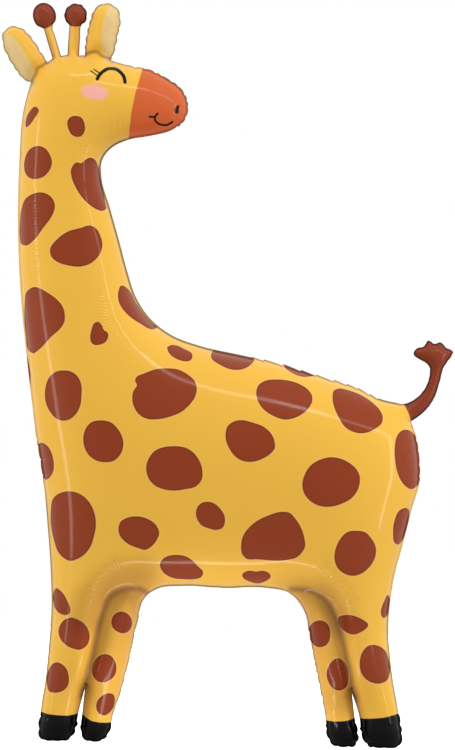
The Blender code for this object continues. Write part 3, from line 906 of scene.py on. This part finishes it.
fields = {
    "spots": areaField([closedLine(one) for group in spots.values() for one in group]),
    "snout": areaField([corneredLine(areas["snout"])]),
    "hooves": areaField([corneredLine(areas[one]) for one in areas if one.endswith("Hoof")]),
    "dark": areaField([corneredLine(areas["tail"])] + [oval(*one) for one in knobs]),
    "earInner": areaField([corneredLine(one) for one in earInner.values()]),
    "cheek": areaField([oval(*cheek)]),
    "eye": lineField([eye]),
    "lashes": lineField(lashes),
    "mouth": lineField(mouth),
    "nostril": areaField([closedLine(nostril)]),
    "legShade": lineField([airbrushAndShadeLines["frontLeg"], airbrushAndShadeLines["hindLeg"]]),
    "earShade": lineField([airbrushAndShadeLines["leftEar"], airbrushAndShadeLines["rightEar"]]),
    # painted shade on the thighs and far legs
    "legPaintedShade": lineField([airbrushAndShadeLines[name] for name in
                          ("frontThigh", "hindThigh", "frontFarLeg", "hindFarLeg")]),
    "rimIn": rimIn,
    "lobePhase": phase,
    "lobeStrength": strength,
    "lobeReach": seamReach[nearest],
    "edgeTone": seamTone[nearest],
    "edgeIn": rimIn / (seamWide[nearest] * square),
    "rippleAlong": rippleAlong,
    "rippleAside": rippleAside,
    "rippleStrength": rippleStrength,
    "wrinkle": wrinkle,
    "height": height,
}
print("print and relief fields:", len(fields))


def addObject(name, data):
    made = bpy.data.objects.new(name, data)
    bpy.context.scene.collection.objects.link(made)
    return made


def flatMesh():
    mesh = bpy.data.meshes.new("flatFoil")
    place = np.stack([flat[:, 0], np.zeros(len(flat)), flat[:, 1]], axis=1)
    wrong = signedArea(flat, triangles) < 0
    turned = np.where(wrong[:, None], triangles[:, ::-1], triangles)  # faces look along -Y
    mesh.from_pydata(place.tolist(), [], turned.tolist())
    for name, values in fields.items():
        attribute = mesh.attributes.new(name, "FLOAT", "POINT")
        attribute.data.foreach_set("value", np.asarray(values, np.float32))
    return mesh


# Node trees: a node's inputs are values or other nodes' sockets

def addNode(tree, kind, inputs=None, **settings):
    node = tree.nodes.new(kind)
    for name, value in settings.items():
        setattr(node, name, value)
    for key, value in (inputs or {}).items():
        socket = node.inputs[key]
        if isinstance(value, bpy.types.NodeSocket):
            tree.links.new(value, socket)
        else:
            socket.default_value = value
    return node


def mathNode(tree, kind, first, second=0.0):
    return addNode(tree, "ShaderNodeMath", {0: first, 1: second}, operation=kind).outputs[0]


relief = {
    "pleatDepth": 0.09,  # share of the height
    "pleatReach": 0.009,
    "pleatWidth": 0.012,
    "seamWave": 0.0010,
    "seamFade": 0.004,
    "ripplePitch": 0.0043,
    "rippleDepth": 0.0006,
    "wrinkleDepth": 0.00034,
    "slackDepth": 0.0012,
    "slackScale": 9.0,
    "slackEdge": 0.02,  # the slack dies out over this distance from the seam
    "seed": 4.0,
}
meetWithin = 2e-6  # points of the two sheets that are nearer than this are joined


def reliefTree(material):
    tree = bpy.data.node_groups.new("blownFoil", "GeometryNodeTree")
    face = tree.interface
    face.new_socket("Geometry", in_out="INPUT", socket_type="NodeSocketGeometry")
    face.new_socket("Geometry", in_out="OUTPUT", socket_type="NodeSocketGeometry")
    for name in relief:
        face.new_socket(name, in_out="INPUT", socket_type="NodeSocketFloat")
    given = tree.nodes.new("NodeGroupInput").outputs

    def named(name):
        node = addNode(tree, "GeometryNodeInputNamedAttribute", {"Name": name}, data_type="FLOAT")
        return node.outputs["Attribute"]

    def both(first, second):
        return mathNode(tree, "MULTIPLY", first, second)

    def less(first, second):
        return mathNode(tree, "SUBTRACT", first, second)

    def fadeOut(distance, reach):
        share = mathNode(tree, "DIVIDE", distance, reach)
        return mathNode(tree, "EXPONENT", both(share, -1.0))

    # pleats run inwards from the ends of the lobes
    toEnd = mathNode(tree, "MINIMUM", named("lobePhase"), less(1.0, named("lobePhase")))
    pleat = fadeOut(both(toEnd, toEnd), given["pleatWidth"])
    reach = both(named("lobeReach"), given["pleatReach"])
    pleat = both(both(pleat, fadeOut(named("rimIn"), reach)), named("lobeStrength"))
    drawnIn = less(1.0, both(pleat, given["pleatDepth"]))
    # fine cross ripples, and the lone wrinkles
    turn = mathNode(tree, "DIVIDE", both(named("rippleAlong"), 2 * math.pi), given["ripplePitch"])
    aside = named("rippleAside")
    spread = both(aside, fadeOut(both(aside, aside), 1.0))
    depth = both(named("rippleStrength"), given["rippleDepth"])
    ripple = both(both(mathNode(tree, "COSINE", turn), depth), spread)
    ripple = less(ripple, both(named("wrinkle"), given["wrinkleDepth"]))
    # slack in the foil
    noise = addNode(
        tree, "ShaderNodeTexNoise",
        {"Scale": given["slackScale"], "W": given["seed"], "Detail": 1.0},
        noise_dimensions="4D",
    ).outputs["Fac"]
    away = less(1.0, fadeOut(named("rimIn"), given["slackEdge"]))
    slack = both(both(less(noise, 0.5), given["slackDepth"]), away)
    lift = mathNode(
        tree, "ADD", both(named("height"), drawnIn), mathNode(tree, "ADD", ripple, slack)
    )
    # the sealed edge waves a little out of its plane
    swing = mathNode(tree, "SINE", both(named("lobePhase"), 2 * math.pi))
    wave = both(given["seamWave"], fadeOut(named("rimIn"), given["seamFade"]))
    swing = both(both(swing, named("lobeStrength")), wave)

    sides = []
    for sign in (-1.0, 1.0):
        offset = addNode(
            tree, "ShaderNodeCombineXYZ", {"Y": mathNode(tree, "ADD", swing, both(lift, sign))}
        )
        side = addNode(
            tree, "GeometryNodeSetPosition",
            {"Geometry": given["Geometry"], "Offset": offset.outputs[0]},
        ).outputs[0]
        if sign > 0:
            side = addNode(tree, "GeometryNodeFlipFaces", {"Mesh": side}).outputs[0]
        sides.append(side)
    joined = tree.nodes.new("GeometryNodeJoinGeometry")
    for side in sides:
        tree.links.new(side, joined.inputs[0])
    merged = addNode(
        tree, "GeometryNodeMergeByDistance",
        {"Geometry": joined.outputs[0], "Distance": meetWithin},
    )
    smooth = addNode(tree, "GeometryNodeSetShadeSmooth", {"Geometry": merged.outputs[0]})
    real = addNode(tree, "GeometryNodeRealizeInstances", {"Geometry": smooth.outputs[0]})
    painted = addNode(
        tree, "GeometryNodeSetMaterial", {"Geometry": real.outputs[0], "Material": material}
    )
    out = tree.nodes.new("NodeGroupOutput")
    tree.links.new(painted.outputs[0], out.inputs["Geometry"])
    return tree


def blownBalloon(material):
    flatPiece = addObject("flatFoil", flatMesh())
    modifier = flatPiece.modifiers.new("blown foil", "NODES")
    modifier.node_group = reliefTree(material)
    for item in modifier.node_group.interface.items_tree:
        if item.in_out == "INPUT" and item.name in relief:
            modifier[item.identifier] = relief[item.name]
    bpy.context.view_layer.update()
    evaluated = flatPiece.evaluated_get(bpy.context.evaluated_depsgraph_get())
    mesh = bpy.data.meshes.new_from_object(evaluated)
    mesh.name = "printedBalloon"
    bpy.data.objects.remove(flatPiece)
    return addObject("printed_balloon", mesh)


# The printed foil, with painted shade at the folds, thighs, far legs, ear roots and seal, and a
# painted sheen just inside the seal

paint = {
    "yellow": (236, 184, 70),
    "ochre": (230, 174, 58),
    # wide painted shade beside the leg folds, partly printed airbrush
    "shade": (196, 146, 64),
    "spot": (141, 58, 27),
    "spotFringe": (112, 50, 12),
    "spotHalo": (240, 178, 108),
    "snoutHigh": (202, 98, 50),
    "snoutLow": (214, 97, 49),
    "dark": (136, 58, 34),
    "darkBorder": (66, 32, 22),
    "hoof": (6, 5, 5),
    "ink": (8, 3, 3),
    "beige": (222, 192, 132),
    "cheek": (242, 172, 164),
    # dark band in the leg folds: partly printed airbrush, partly painted shade
    "legShade": (146, 100, 60),
    "earShade": (132, 78, 24),
    # painted shade that darkens the thighs and far legs
    "legPaintedShade": (226, 220, 237),
    "weldDark": (126, 112, 66),
    # painted reflection: the pale band just inside the seal
    "inner": (246, 202, 124),
}
layers = {
    # the paints, in the order they are laid on: the field, where the paint ends in it, half the
    # width of that edge, strength and paint
    "underSeal": [
        # wide painted shade beside the leg folds, partly printed airbrush
        ("legShade", 0.014, 0.026, 0.75, "shade"),
        # painted reflection: a pale band just inside the seal
        ("rimIn", 0.0044, 0.0024, 0.6, "inner"),
        ("earInner", 0.0, 0.0022, 0.95, "beige"),
        ("cheek", -0.001, 0.0035, 0.95, "cheek"),
        ("spots", 0.0016, 0.0012, 0.6, "spotHalo"),
        ("spots", 0.0, 0.0005, 1.0, "spotFringe"),
        ("spots", -0.0015, 0.001, 1.0, "spot"),
        ("snout", 0.0, 0.0005, 1.0, "snout"),
        # dark band in the leg folds: partly printed airbrush, partly painted shade
        ("legShade", 0.0032, 0.0048, 0.85, "legShade"),
        # painted shade over the thighs and far legs, laid on by multiplying
        ("legPaintedShade", 0.02, 0.018, 1.0, "legPaintedShade"),
        ("earShade", 0.0016, 0.0034, 0.9, "earShade"),
    ],
    "overSeal": [
        ("dark", 0.0, 0.0005, 1.0, "dark"),
        ("hooves", 0.0, 0.0005, 1.0, "hoof"),
        ("eye", 0.0024, 0.0004, 1.0, "ink"),
        ("lashes", 0.0008, 0.0004, 1.0, "ink"),
        ("mouth", 0.0014, 0.0004, 1.0, "ink"),
        ("nostril", 0.0, 0.0004, 1.0, "ink"),
    ],
}
look = {
    "clouds": (7.0, 0.5),  # size and strength of the ochre clouds in the yellow
    "snoutFrom": (160, 134),  # the snout's colour changes from here
    "snoutTo": (160, 78),
    "darkBorder": (0.0018, 0.001),  # where the border ends and half the width of its edge
    "sealEdge": (1.0, 0.5),  # the same for the seal
    "sealShadow": 0.55,  # share of black, and then of the seal's own colour
    "sealTint": 0.5,
    "grain": (900.0, 0.04, 0.0004),  # scale, strength and depth
    "roughness": 0.4,
    "specular": 0.05,
    "coat": 0.2,
    "coatRoughness": 0.08,
}


def linear(colour):
    # a screen colour, 0 to 255, as Blender's linear one
    values = [value / 255 for value in colour]
    bent = [v / 12.92 if v <= 0.04045 else ((v + 0.055) / 1.055) ** 2.4 for v in values]
    return (*bent, 1.0)


def foilMaterial():
    material = bpy.data.materials.new("printedFoil")
    material.use_nodes = True
    tree = material.node_tree
    tree.nodes.clear()

    def field(name):
        return addNode(tree, "ShaderNodeAttribute", attribute_name=name).outputs["Fac"]

    def within(distance, edgeAt, softness):
        # 1 below edgeAt, 0 above, with a soft step
        node = addNode(
            tree, "ShaderNodeMapRange",
            {"Value": distance, "From Min": edgeAt - softness, "From Max": edgeAt + softness,
             "To Min": 1.0, "To Max": 0.0},
            interpolation_type="SMOOTHSTEP",
        )
        return node.outputs["Result"]

    def mixed(factor, first, second, blend="MIX"):
        node = addNode(tree, "ShaderNodeMix", data_type="RGBA", blend_type=blend)
        for key, value in (("Factor_Float", factor), ("A_Color", first), ("B_Color", second)):
            socket = next(one for one in node.inputs if one.identifier == key)
            if isinstance(value, bpy.types.NodeSocket):
                tree.links.new(value, socket)
            else:
                socket.default_value = value
        return next(one for one in node.outputs if one.identifier == "Result_Color")

    place = addNode(tree, "ShaderNodeTexCoord").outputs["Object"]
    height = addNode(tree, "ShaderNodeSeparateXYZ", {"Vector": place}).outputs["Z"]
    low, high = toMetres([look["snoutFrom"], look["snoutTo"]])[:, 1]
    share = addNode(
        tree, "ShaderNodeMapRange", {"Value": height, "From Min": low, "From Max": high}
    ).outputs["Result"]
    colours = {name: linear(value) for name, value in paint.items()}
    colours["snout"] = mixed(share, colours["snoutLow"], colours["snoutHigh"])
    # the dark border of the tail and knobs by the seal: partly the seal's own colour, partly
    # painted shade
    border = within(field("rimIn"), *look["darkBorder"])
    colours["dark"] = mixed(border, colours["dark"], colours["darkBorder"])

    def layered(colour, name, edgeAt, softness, strength, tint):
        factor = within(field(name), edgeAt, softness)
        if strength < 1:
            factor = mathNode(tree, "MULTIPLY", factor, strength)
        return mixed(factor, colour, colours[tint], "MULTIPLY" if tint == "legPaintedShade" else "MIX")

    scale, strength = look["clouds"]
    cloudy = addNode(tree, "ShaderNodeTexNoise", {"Vector": place, "Scale": scale, "Detail": 2.0})
    factor = mathNode(tree, "MULTIPLY", cloudy.outputs["Fac"], strength)
    colour = mixed(factor, colours["yellow"], colours["ochre"])
    for layer in layers["underSeal"]:
        colour = layered(colour, *layer)
    # the seal, a darker rim of what is printed there: partly the seal's own olive tint, partly
    # painted shade along the edge
    shadow = mixed(look["sealShadow"], colour, (0, 0, 0, 1))
    weld = mixed(look["sealTint"], shadow, colours["weldDark"])
    toned = mathNode(
        tree, "MULTIPLY", within(field("edgeIn"), *look["sealEdge"]), field("edgeTone")
    )
    colour = mixed(toned, colour, weld)
    for layer in layers["overSeal"]:
        colour = layered(colour, *layer)

    scale, strength, depth = look["grain"]
    grain = addNode(tree, "ShaderNodeTexNoise", {"Vector": place, "Scale": scale, "Detail": 2.0})
    bump = addNode(
        tree, "ShaderNodeBump",
        {"Height": grain.outputs["Fac"], "Strength": strength, "Distance": depth},
    )
    shader = addNode(
        tree, "ShaderNodeBsdfPrincipled",
        {"Base Color": colour, "Roughness": look["roughness"], "Metallic": 0.0,
         "Specular IOR Level": look["specular"], "Coat Weight": look["coat"],
         "Coat Roughness": look["coatRoughness"], "Normal": bump.outputs[0]},
    )
    out = tree.nodes.new("ShaderNodeOutputMaterial")
    tree.links.new(shader.outputs[0], out.inputs["Surface"])
    return material


balloon = blownBalloon(foilMaterial())
print("balloon:", len(balloon.data.polygons), "faces")
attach(balloon, "root")
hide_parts(nodeName)

# Floor, light and camera

studio = {
    "floorSize": 8.0,
    "floorGrey": 0.56,
    "floorRoughness": 0.9,
    "side": 0.96,  # light from the sides and from behind
    "front": 0.54,  # light from the camera's side, which the foil would mirror
    "frontFrom": math.cos(math.radians(72)),  # the dimmer part, off the line to the camera
    "frontTo": math.cos(math.radians(22)),
    "distance": 9.0,
    "sensor": 36.0,
    "clipEnd": 100,
}
lights = {
    # place, target, width and height, power, and the direction that the height is laid along
    "leftStrip": ((-1.3, -0.3, 0.52), (0, 0, 0.5), (0.13, 1.03), 4.2),
    "rightStrip": ((1.3, -0.47, 0.52), (0, 0, 0.5), (0.1, 1.03), 4),
    "cornerStrip": ((1.3, -1.0, 1.8), (0.1, 0, 0.5), (0.12, 1.75), 6, (-0.1, -1.0, 1.55)),
    "headStrip": ((-0.4, -0.95, 2.6), (-0.2, 0, 0.9), (0.8, 0.17), 6.5),
    "backStrip": ((0.6, -1.5, 2.6), (0, 0, 0.5), (1.0, 0.2), 7),
    "bellyCard": ((-0.01, -0.1, 0.003), (-0.01, -0.04, 0.3), (0.24, 0.03), 0.3),
}


def whiteFloor():
    mesh = bpy.data.meshes.new("floor")
    builder = bmesh.new()
    bmesh.ops.create_grid(builder, x_segments=1, y_segments=1, size=studio["floorSize"] / 2)
    builder.to_mesh(mesh)
    builder.free()
    floor = addObject("floor", mesh)
    material = bpy.data.materials.new("paleFloor")
    material.use_nodes = True
    tree = material.node_tree
    shader = tree.nodes["Principled BSDF"]
    shader.inputs["Base Color"].default_value = (*[studio["floorGrey"]] * 3, 1)
    shader.inputs["Roughness"].default_value = studio["floorRoughness"]
    shader.inputs["Emission Color"].default_value = (1, 1, 1, 1)
    seen = addNode(tree, "ShaderNodeLightPath").outputs["Is Camera Ray"]
    tree.links.new(seen, shader.inputs["Emission Strength"])
    mesh.materials.append(material)


def softLight(name, place, target, size, power, upright=(0, 0, 1)):
    # an area light that shines on the target
    light = bpy.data.lights.new(name, "AREA")
    light.shape = "RECTANGLE"
    light.size, light.size_y = size
    light.energy = power
    lamp = addObject(name, light)
    back = (Vector(place) - Vector(target)).normalized()
    across = Vector(upright).cross(back).normalized()
    turned = Matrix((across, back.cross(across), back)).transposed().to_4x4()
    lamp.matrix_world = Matrix.Translation(place) @ turned
    lamp.visible_camera = False


def whiteTent():
    # a white tent round the balloon, dimmer where the camera looks in, and white where it is seen
    world = bpy.data.worlds.new("whiteTent")
    world.use_nodes = True
    tree = world.node_tree
    direction = addNode(tree, "ShaderNodeTexCoord").outputs["Generated"]
    forward = addNode(
        tree, "ShaderNodeVectorMath", {0: direction, 1: (0, -1, 0)}, operation="DOT_PRODUCT"
    )
    strength = addNode(
        tree, "ShaderNodeMapRange",
        {"Value": forward.outputs["Value"], "From Min": studio["frontFrom"],
         "From Max": studio["frontTo"], "To Min": studio["side"], "To Max": studio["front"]},
        interpolation_type="SMOOTHSTEP",
    ).outputs["Result"]
    seen = addNode(tree, "ShaderNodeLightPath").outputs["Is Camera Ray"]
    strength = mathNode(tree, "MAXIMUM", strength, seen)
    tree.links.new(strength, tree.nodes["Background"].inputs["Strength"])
    tree.nodes["Background"].inputs["Color"].default_value = (1, 1, 1, 1)
    bpy.context.scene.world = world


def makeStudio():
    whiteFloor()
    whiteTent()
    for name, how in lights.items():
        softLight(name, *how)
    bpy.context.scene.view_settings.view_transform = "Standard"


def makeCamera():
    data = bpy.data.cameras.new("camera")
    camera = addObject("camera", data)
    middle = toMetres([[value / 2 for value in drawing["paper"]]])[0]
    data.sensor_width = studio["sensor"]
    data.lens = studio["sensor"] * studio["distance"] / (drawing["paper"][1] * square)
    data.clip_end = studio["clipEnd"]
    right = Vector((math.cos(lean), 0, math.sin(lean)))
    up = Vector((-math.sin(lean), 0, math.cos(lean)))
    back = Vector((0, -1, 0))
    turned = Matrix((right, up, back)).transposed().to_4x4()
    camera.matrix_world = Matrix.Translation((middle[0], -studio["distance"], middle[1])) @ turned
    bpy.context.scene.camera = camera


makeStudio()
makeCamera()
bpy.context.view_layer.update()
